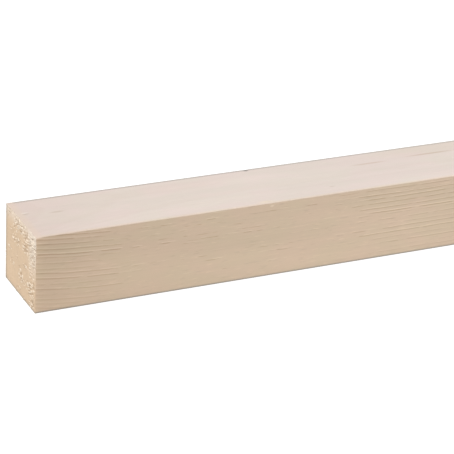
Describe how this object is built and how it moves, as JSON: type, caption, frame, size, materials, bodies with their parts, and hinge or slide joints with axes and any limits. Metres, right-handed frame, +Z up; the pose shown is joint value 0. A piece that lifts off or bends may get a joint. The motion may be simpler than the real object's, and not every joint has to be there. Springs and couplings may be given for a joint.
{
  "type": "planed square timber",
  "caption": "Long square-section softwood timber, planed on all sides with eased long edges and rough sawn ends, used as framing or batten stock.",
  "frame": {"origin": "on the underside, halfway along the length and halfway across the width", "axes": "+X along the grain, away from the sawn end seen in the picture; +Y from the front face to the back face; +Z up, from the underside to the top"},
  "size_m": [1.8, 0.044, 0.044],
  "materials": {
    "planed_spruce": "bare planed softwood, matte, with rough sawn ends"
  },
  "bodies": {
    "root": {"planed_timber": "planed_spruce"}
  },
  "joints": []
}
